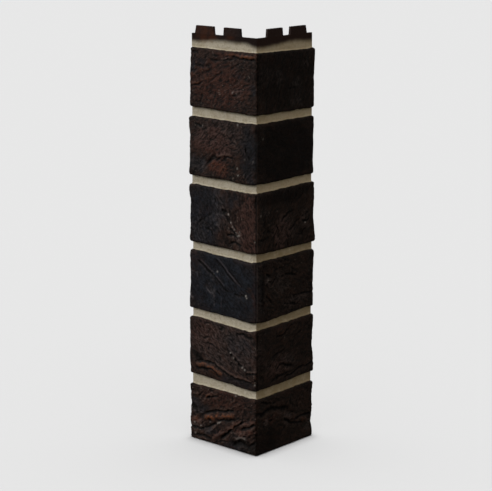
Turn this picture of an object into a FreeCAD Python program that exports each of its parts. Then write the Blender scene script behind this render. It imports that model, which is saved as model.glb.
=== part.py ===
import FreeCAD, Part
import math
import os
import Sketcher
from FreeCAD import Placement, Rotation, Vector

# Outside-corner strip of brick-effect wall cladding, moulded as one thin shell.
# Two flanges meet at a vertical edge, the arris, and carry six brick courses with sunk joints.
# A lip with four tabs on the top edge slides behind the bottom course of the strip above it.
# Millimetres. X runs along the left flange towards the arris, Y along the right flange away
# from it, Z up. The origin is at the middle of the footprint's box, on the lowest edge.

document = FreeCAD.newDocument("corner_strip")

# Driving sizes
# Every size that can be set by itself is written once, here.
SIZES = [
    ("left_length", 90.5, "left flange, from its free end to the outer face of the right one"),
    ("right_length", 88.0, "right flange, from the outer face of the left one to its free end"),
    ("course_pitch", 70.0, "height of one brick and one joint"),
    ("course_count", 6, "brick courses"),
    ("joint_width", 8.7, "gap between the flanks of two bricks"),
    ("joint_depth", 4.0, "how far the joint lies behind the brick faces"),
    ("brick_edge_radius", 1.8, "rounding where a brick's face turns into the joint"),
    ("joint_root_radius", 1.8, "cove at the bottom of the joint"),
    ("arris_radius", 2.0, "rounding of the bricks along the corner"),
    ("free_edge_radius", 1.2, "rounding of the bricks at the free ends"),
    ("shell", 2.5, "wall thickness of the moulding"),
    ("lip_height", 13.3, "lip above the flank of the top brick"),
    ("tab_height", 8.0, "tabs above the lip"),
    ("tab_draft", 0.8, "how far a tab's side draws in between the lip and the top of the tab"),
    ("outer_tab_draft", 1.9, "the same on the two sides that look towards a free end"),
    ("tab_corner_radius", 0.6, "rounding of a tab's top corners"),
    ("tab_root_radius", 1.0, "cove where a tab grows out of the lip"),
    ("tab_a_start", 4.1, "first tab, from the left flange's free end"),
    ("tab_a_width", 26.0, "first tab, along the lip"),
    ("left_tab_gap", 12.4, "gap between the first and the second tab, along the lip"),
    ("tab_b_width", 23.0, "second tab, along the lip"),
    ("tab_c_start", 19.7, "third tab, from the outer face of the left flange"),
    ("tab_c_width", 23.7, "third tab, along the lip"),
    ("right_tab_gap", 10.9, "gap between the third and the fourth tab, along the lip"),
    ("tab_d_width", 25.7, "fourth tab, along the lip"),
    ("tab_clearance", 0.8, "air around a tab and above the lip once two strips are stacked"),
    ("rib_thickness", 2.0, "stiffening ribs behind the bricks"),
    ("left_rib_place", 36.0, "upright rib of the left flange, from its free end"),
    ("right_rib_place", 47.4, "upright rib of the right flange, from the left outer face"),
]

sheet = document.addObject("Spreadsheet::Sheet", "sizes")
sheet.Label = "sizes"
for row, (alias, amount, meaning) in enumerate(SIZES, start=1):
    sheet.set(f"A{row}", meaning)
    sheet.set(f"B{row}", str(amount))
    sheet.setAlias(f"B{row}", alias)
document.recompute()


def size(alias):
    return float(sheet.get(alias))


# Formulas
# A formula is a chain of size names with plus and minus signs between them.
# It is used twice: as a number, to draw a first outline, and as the expression that drives it.
def number(formula):
    total = 0.0
    sign = 1
    for word in formula.split():
        if word in "+-":
            sign = 1 if word == "+" else -1
        elif word != "0":
            total += sign * size(word)
    return total


def expression(formula):
    words = [w if w in "+-0" else f"<<sizes>>.{w}" for w in formula.split()]
    return " ".join(words)


BACK = "joint_depth + shell"
BACK_X = "left_length - joint_depth - shell"
LIP_TOP = (
    "<<sizes>>.course_count * <<sizes>>.course_pitch"
    " - <<sizes>>.joint_width + <<sizes>>.lip_height"
)
REBATE_TOP = "lip_height - joint_width + tab_clearance"
SOCKET_TOP = REBATE_TOP + " + tab_height"
TAB_A_END = "tab_a_start + tab_a_width"
TAB_B_START = TAB_A_END + " + left_tab_gap"
TAB_C_END = "tab_c_start + tab_c_width"
TAB_D_START = TAB_C_END + " + right_tab_gap"

body = document.addObject("PartDesign::Body", "corner_panel")
body.Label = "corner_panel"
body.Placement = Placement(Vector(0, 0, 0), Rotation())


def origin_part(role):
    return next(part for part in body.Origin.OriginFeatures if part.Role == role)


# Sketch helpers
# Each plane's own frame is moved so that every outline has coordinates of zero or more.
def new_sketch(name, role, base, turn=None):
    sketch = body.newObject("Sketcher::SketchObject", name)
    sketch.AttachmentSupport = [(origin_part(role), "")]
    sketch.MapMode = "FlatFace"
    sketch.AttachmentOffset = Placement(Vector(0, 0, 0), turn or Rotation())
    for axis, text in zip("xyz", base):
        sketch.setExpression(f"AttachmentOffset.Base.{axis}", text)
    document.recompute()
    return sketch


def plan_sketch(name, height):
    base = ("-<<sizes>>.left_length / 2", "-<<sizes>>.right_length / 2", expression(height))
    return new_sketch(name, "XY_Plane", base)


def pin_down(sketch, segment, end, across, up):
    for kind, formula, axis in (("DistanceX", across, -2), ("DistanceY", up, -1)):
        if formula == "0":
            sketch.addConstraint(Sketcher.Constraint("PointOnObject", segment, end, axis))
            continue
        rule = Sketcher.Constraint(kind, -1, 1, segment, end, number(formula))
        place = sketch.addConstraint(rule)
        sketch.setExpression(f"Constraints[{place}]", expression(formula))


def quarter_arc(start, stop, centre):
    first = math.atan2(start.y - centre.y, start.x - centre.x)
    last = math.atan2(stop.y - centre.y, stop.x - centre.x)
    circle = Part.Circle(centre, Vector(0, 0, 1), (start - centre).Length)
    anticlockwise = math.sin(last - first) > 0
    if anticlockwise:
        return Part.ArcOfCircle(circle, first, last), (1, 2)
    return Part.ArcOfCircle(circle, last, first), (2, 1)


# A corner is (across, up) or (across, up, radius, side) when a quarter arc leads on from it.
# Side "level" puts the arc's centre level with the next corner, "plumb" straight across from it.
def draw_outline(sketch, corners):
    points = [Vector(number(corner[0]), number(corner[1]), 0) for corner in corners]
    segments = []
    for place, corner in enumerate(corners):
        start = points[place]
        stop = points[(place + 1) % len(points)]
        if len(corner) == 2:
            shape, ends = Part.LineSegment(start, stop), (1, 2)
        else:
            level = corner[3] == "level"
            centre = Vector(start.x, stop.y, 0) if level else Vector(stop.x, start.y, 0)
            shape, ends = quarter_arc(start, stop, centre)
        segments.append((sketch.addGeometry(shape, False), ends))
    for place, (segment, ends) in enumerate(segments):
        after, after_ends = segments[(place + 1) % len(segments)]
        join = Sketcher.Constraint("Coincident", segment, ends[1], after, after_ends[0])
        sketch.addConstraint(join)
        pin_down(sketch, segment, ends[0], corners[place][0], corners[place][1])
        if len(corners[place]) > 2:
            radius = corners[place][2]
            rule = Sketcher.Constraint("Radius", segment, number(radius))
            index = sketch.addConstraint(rule)
            sketch.setExpression(f"Constraints[{index}]", expression(radius))
    return sketch


# Feature helpers
# Each one prints how much material it adds or takes away.
def measured(feature, before):
    document.recompute()
    change = feature.Shape.Volume - before
    print(f"{feature.Name}: {change / 1000:+.2f} cm3")
    return feature


def solid_volume():
    return body.Shape.Volume if body.Tip else 0.0


def extrude(kind, name, sketch, length=None, reverse=False):
    before = solid_volume()
    feature = body.newObject(f"PartDesign::{kind}", name)
    feature.Profile = sketch
    feature.Reversed = reverse
    if length is None:
        feature.Type = "ThroughAll"
    else:
        feature.setExpression("Length", length)
    body.Tip = feature
    return measured(feature, before)


def stack(name, features, count):
    before = solid_volume()
    pattern = body.newObject("PartDesign::LinearPattern", name)
    pattern.Originals = features
    pattern.Direction = (origin_part("Z_Axis"), [""])
    pattern.setExpression("Length", f"({count} - 1) * <<sizes>>.course_pitch")
    pattern.setExpression("Occurrences", count)
    body.Tip = pattern
    return measured(pattern, before)


# Plain angle
# Both flanges stand as one L-shaped bar as high as the lip, with its outer edges rounded.
def l_outline(outer, end):
    outer_x = f"left_length - {outer}"
    right_end = f"right_length - {end}"
    return [
        (end, outer),
        (outer_x, outer),
        (outer_x, right_end),
        (BACK_X, right_end),
        (BACK_X, BACK),
        (end, BACK),
    ]


plan = draw_outline(plan_sketch("PlainAnglePlan", "0"), l_outline("0", "0"))
plain = extrude("Pad", "PlainAngle", plan, LIP_TOP)


# An edge is found by its middle, given from the left free end, the left outer face and the foot.
SAME_PLACE = 0.01


def edge_at(shape, across, along, up):
    middle = Vector(across - size("left_length") / 2, along - size("right_length") / 2, up)
    for place, edge in enumerate(shape.Edges, start=1):
        if edge.CenterOfMass.distanceToPoint(middle) < SAME_PLACE:
            return f"Edge{place}"
    raise ValueError("no edge there")


def round_edges(name, base, middles, radius):
    before = solid_volume()
    feature = body.newObject("PartDesign::Fillet", name)
    feature.Base = (base, [edge_at(base.Shape, *middle) for middle in middles])
    feature.setExpression("Radius", f"<<sizes>>.{radius}")
    body.Tip = feature
    return measured(feature, before)


lip_top = plain.Length.Value
arris_edge = (size("left_length"), 0, lip_top / 2)
free_edges = [(0, 0, lip_top / 2), (size("left_length"), size("right_length"), lip_top / 2)]
arris = round_edges("ArrisRounding", plain, [arris_edge], "arris_radius")
round_edges("FreeEndRounding", arris, free_edges, "free_edge_radius")

# Hollow bricks
# Behind each brick the bar is opened from the back down to the shell, around the corner and up
# to an end wall at each free end, so the wall stays about one shell thick everywhere.
hollow_plan = draw_outline(plan_sketch("HollowPlan", "shell"), l_outline("shell", "shell"))
hollow_height = (
    "<<sizes>>.course_pitch - <<sizes>>.joint_width - 2 * <<sizes>>.shell"
)
hollow = extrude("Pocket", "Hollow", hollow_plan, hollow_height, reverse=True)
stack("Hollows", [hollow], "<<sizes>>.course_count")

# Rebate
# The lowest brick is open underneath, end walls included, so that the lip of the strip below
# can rise behind it.
rebate_plan = draw_outline(plan_sketch("RebatePlan", "0"), l_outline("shell", "0"))
extrude("Pocket", "Rebate", rebate_plan, expression(REBATE_TOP), reverse=True)

# Stop rib
# It runs around the corner just above where the tabs of the strip below end.
stop_plan = draw_outline(plan_sketch("StopRibPlan", SOCKET_TOP), l_outline("shell", "shell"))
extrude("Pad", "StopRib", stop_plan, "<<sizes>>.rib_thickness")

# Locating lugs
# One on each flange hangs from the stop rib and fills the gap between two tabs, less the
# clearance, so that stacked strips cannot slip sideways.
LEFT_LUG = (TAB_A_END + " + tab_clearance", TAB_B_START + " - tab_clearance")
RIGHT_LUG = (TAB_C_END + " + tab_clearance", TAB_D_START + " - tab_clearance")


def left_block(start, stop):
    return [(start, "shell"), (stop, "shell"), (stop, BACK), (start, BACK)]


def right_block(start, stop):
    outer_x = "left_length - shell"
    return [(BACK_X, start), (outer_x, start), (outer_x, stop), (BACK_X, stop)]


lug_plan = plan_sketch("LugPlan", REBATE_TOP)
draw_outline(lug_plan, left_block(*LEFT_LUG))
draw_outline(lug_plan, right_block(*RIGHT_LUG))
extrude("Pad", "Lugs", lug_plan, "<<sizes>>.tab_height")

# Upright ribs
# One on each flange stiffens the hollow bricks from the stop rib to the top course.
LEFT_RIB = ("left_rib_place", "left_rib_place + rib_thickness")
RIGHT_RIB = ("right_rib_place", "right_rib_place + rib_thickness")
rib_plan = plan_sketch("RibPlan", SOCKET_TOP)
draw_outline(rib_plan, left_block(*LEFT_RIB))
draw_outline(rib_plan, right_block(*RIGHT_RIB))
rib_height = (
    "<<sizes>>.course_count * <<sizes>>.course_pitch - <<sizes>>.joint_width - <<sizes>>.shell"
    f" - ({expression(SOCKET_TOP)})"
)
extrude("Pad", "UprightRibs", rib_plan, rib_height)

# Joints
# The profile of a joint, seen along a flange: depth across, height up. The brick's face rolls
# over a convex edge into a short flank, and a cove leads on to the flat bottom of the joint.
JOINT_TOP = "course_pitch"
JOINT_FOOT = "course_pitch - joint_width"


def brick_top_edge(level):
    return [
        ("0", f"{level} - brick_edge_radius", "brick_edge_radius", "plumb"),
        ("brick_edge_radius", level),
        ("joint_depth - joint_root_radius", level, "joint_root_radius", "level"),
        ("joint_depth", f"{level} + joint_root_radius"),
    ]


def brick_foot_edge(level):
    return [
        ("joint_depth", f"{level} - joint_root_radius", "joint_root_radius", "plumb"),
        ("joint_depth - joint_root_radius", level),
        ("brick_edge_radius", level, "brick_edge_radius", "level"),
        ("0", f"{level} + brick_edge_radius"),
    ]


# A left profile stands at the left free end, a right one at the right free end.
def left_profile(name, corners, level="0"):
    base = ("-<<sizes>>.right_length / 2", level, "-<<sizes>>.left_length / 2")
    return draw_outline(new_sketch(name, "YZ_Plane", base), corners)


def right_profile(name, corners, level="0"):
    base = ("<<sizes>>.left_length / 2", level, "-<<sizes>>.right_length / 2")
    turn = Rotation(Vector(0, 1, 0), 180)
    return draw_outline(new_sketch(name, "XZ_Plane", base, turn), corners)


joint_outline = brick_top_edge(JOINT_FOOT) + brick_foot_edge(JOINT_TOP)
left_joint = left_profile("LeftJointProfile", joint_outline)
left_cut = extrude("Pocket", "LeftJoint", left_joint, reverse=True)
right_joint = right_profile("RightJointProfile", joint_outline)
right_cut = extrude("Pocket", "RightJoint", right_joint)
stack("Joints", [left_cut, right_cut], "<<sizes>>.course_count - 1")

# Lip
# Above the top brick the outer skin is cut back to joint depth. What is left shows as half a
# joint and then slides behind the next strip.
top_course = "(<<sizes>>.course_count - 1) * <<sizes>>.course_pitch"
lip_outline = brick_top_edge(JOINT_FOOT) + [
    ("joint_depth", JOINT_FOOT + " + lip_height"),
    ("0", JOINT_FOOT + " + lip_height"),
]
left_lip = left_profile("LeftLipProfile", lip_outline, top_course)
extrude("Pocket", "LeftLip", left_lip, reverse=True)
right_lip = right_profile("RightLipProfile", lip_outline, top_course)
extrude("Pocket", "RightLip", right_lip)

# Foot
# The lowest brick is rounded along its lower edge like every other one.
foot_outline = [
    ("brick_edge_radius", "0", "brick_edge_radius", "level"),
    ("0", "brick_edge_radius"),
    ("0", "0"),
]
left_foot = left_profile("LeftFootProfile", foot_outline)
extrude("Pocket", "LeftFoot", left_foot, reverse=True)
right_foot = right_profile("RightFootProfile", foot_outline)
extrude("Pocket", "RightFoot", right_foot)

# Tabs
# Two on each flange, as thick as the shell and flush with the front of the lip. Their sides
# draw in towards the top, so that they find their way between the lugs of the next strip.
LEFT_TABS = [
    ("tab_a_start", "tab_a_width", "outer_tab_draft", "tab_draft"),
    (TAB_B_START, "tab_b_width", "tab_draft", "tab_draft"),
]
RIGHT_TABS = [
    ("tab_c_start", "tab_c_width", "tab_draft", "tab_draft"),
    (TAB_D_START, "tab_d_width", "tab_draft", "outer_tab_draft"),
]


def tab_outline(start, width, first_draft, last_draft):
    return [
        (start, "0"),
        (f"{start} + {first_draft}", "tab_height"),
        (f"{start} + {width} - {last_draft}", "tab_height"),
        (f"{start} + {width}", "0"),
    ]


def tab_sketch(name, role, base, tabs):
    sketch = new_sketch(name, role, base)
    for tab in tabs:
        draw_outline(sketch, tab_outline(*tab))
    return sketch


left_face = "<<sizes>>.right_length / 2 - <<sizes>>.joint_depth"
left_base = ("-<<sizes>>.left_length / 2", LIP_TOP, left_face)
left_tabs = tab_sketch("LeftTabOutline", "XZ_Plane", left_base, LEFT_TABS)
extrude("Pad", "LeftTabs", left_tabs, "<<sizes>>.shell", reverse=True)

right_face = "<<sizes>>.left_length / 2 - <<sizes>>.joint_depth"
right_base = ("-<<sizes>>.right_length / 2", LIP_TOP, right_face)
right_tabs = tab_sketch("RightTabOutline", "YZ_Plane", right_base, RIGHT_TABS)
tabs = extrude("Pad", "RightTabs", right_tabs, "<<sizes>>.shell", reverse=True)

# Rounded tabs
# All edges that cross a tab from front to back are rounded, at its top and along the lip.
middle_depth = size("joint_depth") + size("shell") / 2
right_depth = size("left_length") - middle_depth


def crossing_edges(up):
    level = lip_top + number(up)
    middles = []
    for tab in LEFT_TABS:
        corners = [along for along, height in tab_outline(*tab) if height == up]
        middles += [(number(along), middle_depth, level) for along in corners]
    for tab in RIGHT_TABS:
        corners = [along for along, height in tab_outline(*tab) if height == up]
        middles += [(right_depth, number(along), level) for along in corners]
    return middles


roots = round_edges("TabRoots", tabs, crossing_edges("0"), "tab_root_radius")
round_edges("TabCorners", roots, crossing_edges("tab_height"), "tab_corner_radius")

# Check and write
document.recompute()
for item in document.Objects:
    if "Invalid" in item.State or "Error" in item.State:
        raise RuntimeError(f"{item.Name} failed: {item.State}")
shape = body.Shape
if shape.isNull() or not shape.isValid() or len(shape.Solids) != 1:
    raise RuntimeError("the strip is not one valid solid")
box = shape.BoundBox
print(f"box {box.XLength:.1f} x {box.YLength:.1f} x {box.ZLength:.1f} mm")
print(f"volume {shape.Volume / 1000:.1f} cm3")

os.makedirs("parts", exist_ok=True)
shape.exportStep(f"parts/{body.Label}.step")
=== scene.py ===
# %% [markdown]
# # A corner cladding strip with brick faces
# The real thing is one thin moulding, most likely of mineral-filled polypropylene. It stands in
# for a pillar of corner bricks: six rough clay faces on two flanges, with sunk joints between
# them, and a lip with tabs on top. Here the moulding is dark brown all through, with cream paint
# sprayed into the joints and a dark brick finish rolled over the faces.
#
# The solids of the construction model give the exact frame. This script keeps their back and
# their tabs, and swaps the plain front for one with the clay relief and the paint.

# %% Load the construction model
import math
import bmesh
import bpy
import numpy as np
from mathutils import Matrix, Vector


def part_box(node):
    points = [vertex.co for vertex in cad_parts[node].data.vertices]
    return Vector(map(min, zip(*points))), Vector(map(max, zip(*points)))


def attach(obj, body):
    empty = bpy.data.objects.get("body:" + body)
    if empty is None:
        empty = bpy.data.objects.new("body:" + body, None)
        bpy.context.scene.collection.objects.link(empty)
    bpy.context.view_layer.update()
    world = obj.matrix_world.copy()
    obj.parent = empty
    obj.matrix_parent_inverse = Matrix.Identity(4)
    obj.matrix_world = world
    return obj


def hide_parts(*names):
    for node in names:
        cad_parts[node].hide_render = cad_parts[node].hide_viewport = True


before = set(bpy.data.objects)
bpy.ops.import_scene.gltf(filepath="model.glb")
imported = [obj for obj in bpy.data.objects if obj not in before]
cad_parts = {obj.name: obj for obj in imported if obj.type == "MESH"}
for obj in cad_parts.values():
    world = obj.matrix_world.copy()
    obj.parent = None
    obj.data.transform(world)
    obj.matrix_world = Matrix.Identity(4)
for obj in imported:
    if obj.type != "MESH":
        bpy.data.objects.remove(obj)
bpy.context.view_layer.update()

low, high = (np.array(corner) * 1000 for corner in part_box("corner_panel"))
print("construction box in mm:", low.round(1), high.round(1))

# %% [markdown]
# ## Camera
# The photograph was taken with a long lens from a little above the strip, looking at the
# corner so that the left flange shows slightly more than the right one. A camera can be
# placed by eye, or worked out from the picture. Here the lens, the distance and the two
# angles were fitted to the outline and the joint lines, so the render can be laid over it.

# %% Place the camera
azimuth = math.radians(41.7)
elevation = math.radians(12.81)
distance = 1.6712
aim = Vector((0.03725, -0.05113, 0.22082))

back = Vector((
    math.sin(azimuth) * math.cos(elevation),
    -math.cos(azimuth) * math.cos(elevation),
    math.sin(elevation),
))
right = Vector((math.cos(azimuth), math.sin(azimuth), 0))
up = back.cross(right)

camera_data = bpy.data.cameras.new("camera")
camera_data.sensor_width = 36
camera_data.lens = 123.49
camera = bpy.data.objects.new("camera", camera_data)
turn = Matrix((right, up, back)).transposed().to_4x4()
camera.matrix_world = Matrix.Translation(aim + back * distance) @ turn
bpy.context.scene.collection.objects.link(camera)
bpy.context.scene.camera = camera
print("camera stands", round(distance, 2), "m from its aim")

# %% [markdown]
# ## Sizes of the front
# The front is described in flat coordinates, as if the corner were folded out: `along` runs
# from the left free end to the corner and on to the right free end, `height` runs up, and
# `depth` goes back from the brick faces. All three are in millimetres, because the real
# moulding is drawn in them. The numbers repeat the construction model's own sizes.

# %% Name the sizes
left_length = high[0] - low[0]
right_length = high[1] - low[1]
full_length = left_length + right_length
course_pitch = 70.0
course_count = 6
joint_width = 8.7
joint_depth = 4.0
shell = 2.5
back_depth = joint_depth + shell
brick_height = course_pitch - joint_width
lip_height = 13.3
lip_top = course_pitch * course_count - joint_width + lip_height
rebate_top = 5.4
print("flanges", left_length.round(1), right_length.round(1), "lip top", lip_top)

# %% [markdown]
# ## Noise
# Clay relief is random but smooth. Blender has noise textures for that, but relief that
# should cast shadows and show in the outline has to be in the mesh. A small gradient noise
# in numpy works on all vertices at once. The seed makes each run give the same bricks.

# %% Make a gradient noise
def noise(x, y, seed):
    angles = np.random.default_rng(seed).random((256, 256)) * math.tau
    cell_x, cell_y = np.floor(x).astype(int), np.floor(y).astype(int)
    inside_x, inside_y = x - cell_x, y - cell_y

    def pull(step_x, step_y):
        angle = angles[(cell_x + step_x) % 256, (cell_y + step_y) % 256]
        return np.cos(angle) * (inside_x - step_x) + np.sin(angle) * (inside_y - step_y)

    blend_x = inside_x**3 * (inside_x * (inside_x * 6 - 15) + 10)
    blend_y = inside_y**3 * (inside_y * (inside_y * 6 - 15) + 10)
    lower = pull(0, 0) * (1 - blend_x) + pull(1, 0) * blend_x
    upper = pull(0, 1) * (1 - blend_x) + pull(1, 1) * blend_x
    return (lower * (1 - blend_y) + upper * blend_y) * 1.5


def layered(x, y, seed, layers=3):
    total = np.zeros_like(x)
    for layer in range(layers):
        total += noise(x * 2**layer, y * 2**layer, seed + layer) / 2**layer
    return total


def ease(value, start, stop):
    share = np.clip((value - start) / (stop - start), 0, 1)
    return share * share * (3 - 2 * share)


# %% [markdown]
# ## Brick edges that wander
# A pressed clay brick never has straight edges. On the real moulding each joint line drifts
# by a millimetre or two. One could bend straight edges with noise alone, but then the joints
# would drift in other places than on the real strip. So each edge gets seven offsets from the
# left to the right free end, read from the photograph to half a millimetre, and a
# little noise on top.

# %% Describe the edges of the six bricks
STATIONS = np.array([5, 45, 80, 90.5, 100, 135, 170])
TOP_DRIFT = [
    (-2, -1.5, -2, -1.5, -2, -1.5, -1),
    (1, -0.5, -2, 0.5, 0.5, 1, 1.5),
    (2, 0.5, 0, 1, 1, 0.5, 1),
    (0.5, 0, 0, 1, 0.5, 1, 1.5),
    (0, -0.5, -0.5, 0, -0.5, -0.5, -0.5),
    (-0.5, -1, -1, -0.5, -1, -1.5, -2),
]
FOOT_DRIFT = [
    (0, 0, 0, 0, 0, 0, 0),
    (1, -0.5, -2, -1.5, -1, -0.5, 1),
    (1.5, 0.5, -1, 0, -1, 0.5, 2),
    (1.5, 1, 0.5, 1, 0, 0, 0),
    (1, 1, 0, 1, 1, 1, 1.5),
    (1, 0.5, -0.5, 0, -0.5, -0.5, -0.5),
]


def through(place, stations, offsets):
    stations, offsets = np.asarray(stations, float), np.asarray(offsets, float)
    span = np.clip(np.searchsorted(stations, place) - 1, 0, len(stations) - 2)
    share = ease(place, stations[span], stations[span + 1])
    return offsets[span] * (1 - share) + offsets[span + 1] * share


def edge_line(place, level, drift, seed):
    if not any(drift):
        return np.full_like(place, level)
    tremble = 0.5 * layered(place / 8, np.full_like(place, 0.5), seed, 3)
    return level + through(place, STATIONS, drift) + tremble


# %% [markdown]
# ## The grid
# The front is a grid of about one vertex per millimetre, which is about one per pixel. The
# columns follow the outline of the corner in plan, and the rows follow the brick edges, so
# the steep flanks of the joints stay crisp however the edges wander. Near the edges and ends
# the grid is finer, because the surface turns there.

# %% Lay out columns and rows
def spread(length, step, fine_start, fine_stop):
    fine = [0.0, 0.25, 0.6, 1.1, 1.7]
    start = fine if fine_start else [0.0]
    stop = [length - value for value in reversed(fine)] if fine_stop else [length]
    count = max(2, round((stop[0] - start[-1]) / step))
    middle = np.linspace(start[-1], stop[0], count + 1)[1:-1]
    return np.concatenate([start, middle, stop])


arris = 2.0
column_step = 1.05
row_step = 1.08
left_columns = spread(left_length - arris, column_step, True, False)
arris_columns = np.linspace(left_length - arris, left_length + arris, 6)[1:-1]
right_columns = spread(right_length - arris, column_step, False, True) + left_length + arris
columns = np.concatenate([left_columns, arris_columns, right_columns])
brick_rows = spread(brick_height, row_step, True, True)
joint_rows = np.array([0.3, 0.7, 1.2, 1.8])
flank = joint_rows[-1]
lip_rows = 11

levels, insides, courses = [], [], []


def add_row(level, inside, course):
    levels.append(level)
    insides.append(inside)
    courses.append(course)


for number in range(course_count):
    base = number * course_pitch
    foot = edge_line(columns, base, FOOT_DRIFT[number], 40 + 3 * number)
    top = edge_line(columns, base + brick_height, TOP_DRIFT[number], 60 + 3 * number)
    for rise in brick_rows:
        share = rise / brick_height
        add_row(foot * (1 - share) + top * share, min(rise, brick_height - rise), number)
    for rise in joint_rows:
        add_row(top + rise, -rise, number)
    if number + 1 < course_count:
        above = edge_line(columns, base + course_pitch, FOOT_DRIFT[number + 1], 43 + 3 * number)
        for share in (0.25, 0.5, 0.75):
            add_row((top + flank) * (1 - share) + (above - flank) * share, -flank, number)
        for fall in joint_rows[::-1]:
            add_row(above - fall, -fall, number + 1)
    else:
        for share in np.linspace(0, 1, lip_rows + 1)[1:]:
            add_row((top + flank) * (1 - share) + lip_top * share, -flank, number)

height = np.array(levels)
along = np.broadcast_to(columns, height.shape).copy()
inside = np.broadcast_to(np.array(insides)[:, None], height.shape).copy()
course = np.broadcast_to(np.array(courses)[:, None], height.shape).copy()
course_rows = [np.array(courses) == number for number in range(course_count)]
print("grid:", height.shape, "of", height.size, "vertices")

# %% [markdown]
# ## From brick face to joint
# `inside` says how far a vertex lies within a brick, and is negative in a joint. The face
# rolls over a convex edge, drops down a short flank and lands on the joint in a cove, just as
# in the construction model.

# %% Shape the joints
edge_radius = 1.8
root_radius = 1.8

roll = np.clip(edge_radius - inside, 0, edge_radius)
face = edge_radius - np.sqrt(edge_radius**2 - roll**2)
climb = np.clip(root_radius + inside, 0, root_radius)
cove = joint_depth - (root_radius - np.sqrt(root_radius**2 - climb**2))
sunk = np.where(inside >= 0, face, cove)
on_brick = ease(inside, -0.2, 2.4)
print("deepest joint", sunk.max().round(2), "mm")

# %% [markdown]
# ## Clay relief
# Clay bricks are thrown into a sanded mould. That leaves crumbly ridges a few millimetres
# long, wider swells, and smooth places. Stretched and turned noise makes the ridges, and each
# face gets its own strength, direction and lengths: strength in mm, direction in degrees,
# length and width of the ridges in mm, and strength of the fine crumbs in mm. `flow` keeps
# the turned and stretched coordinates, so the shader can lay finer crumbs the same way.

# %% Raise the clay texture
LEFT_CLAY = [
    (0.36, 34, 9, 3.0, 0.36),
    (0.14, -35, 8, 3.0, 0.26),
    (0.10, -42, 15, 4.0, 0.12),
    (0.20, -60, 8, 3.0, 0.28),
    (0.20, 38, 7, 2.8, 0.32),
    (0.22, 26, 9, 2.8, 0.34),
]
RIGHT_CLAY = [
    (0.30, -14, 9, 3.0, 0.34),
    (0.24, 18, 9, 3.0, 0.30),
    (0.26, -16, 7, 2.8, 0.36),
    (0.30, 48, 8, 3.0, 0.36),
    (0.06, 0, 10, 4.0, 0.08),
    (0.14, 60, 7, 3.0, 0.20),
]
warp_x = along + 2.2 * noise(along / 11, height / 11, 11)
warp_y = height + 2.2 * noise(along / 11, height / 11, 12)
swell = 0.40 * layered(along / 28, height / 22, 13, 2)


def clay(strength, direction, length, width, crumbs, seed):
    angle = math.radians(direction)
    across = (warp_x * math.cos(angle) + warp_y * math.sin(angle)) / length
    upward = (warp_y * math.cos(angle) - warp_x * math.sin(angle)) / width
    ridges = 1.3 * layered(across, upward, seed, 3)
    grains = layered(warp_x / 3.0, warp_y / 2.6, seed + 7, 2)
    patchy = ease(layered(along / 19, height / 16, seed + 19, 1), -0.45, 0.35)
    return strength * (0.3 + 0.7 * patchy) * ridges + crumbs * (0.5 + 0.5 * patchy) * grains


share_right = ease(along, left_length - 3, left_length + 3)
rough = np.zeros_like(height)
flow = np.zeros(height.shape + (3,))
for number, rows in enumerate(course_rows):
    left = clay(*LEFT_CLAY[number], 100 + 31 * number)[rows]
    right_side = clay(*RIGHT_CLAY[number], 300 + 31 * number)[rows]
    rough[rows] = left * (1 - share_right[rows]) + right_side * share_right[rows]
    for side, table in ((along < left_length, LEFT_CLAY), (along >= left_length, RIGHT_CLAY)):
        angle = math.radians(table[number][1])
        picked = side & rows[:, None]
        flow[picked, 0] = (warp_x * math.cos(angle) + warp_y * math.sin(angle))[picked] / 2.2
        flow[picked, 1] = (warp_y * math.cos(angle) - warp_x * math.sin(angle))[picked]
        flow[picked, 2] = 40 * number + 20 * (table is RIGHT_CLAY)
print("clay relief from", rough.min().round(2), "to", rough.max().round(2), "mm")

# %% [markdown]
# ## Patches of colour and calm
# The finish is not even: some bricks are slate-coloured at one end, some are rusty, and some
# spots were pressed smooth. A patch is a soft oval whose edge is broken by noise. It is given
# by its centre and its reach in millimetres, counted from the face's own lower left corner.

# %% Lay the patches
tints = {name: np.zeros_like(height)
         for name in ("warm", "slate", "ember", "pale", "fleck", "dark")}
calm = np.zeros_like(height)
ragged_x = 5 * layered(along / 13, height / 13, 21, 3)
ragged_y = 5 * layered(along / 13, height / 13, 22, 3)


def patch(number, start, kind, x, y, reach_x, reach_y, amount):
    gap = np.hypot((along + ragged_x - start - x) / reach_x,
                   (height + ragged_y - number * course_pitch - y) / reach_y)
    share = amount * ease(1.35 - gap, 0, 0.75) * (course == number)
    target = calm if kind == "calm" else tints[kind]
    target[:] = np.maximum(target, share)


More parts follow.
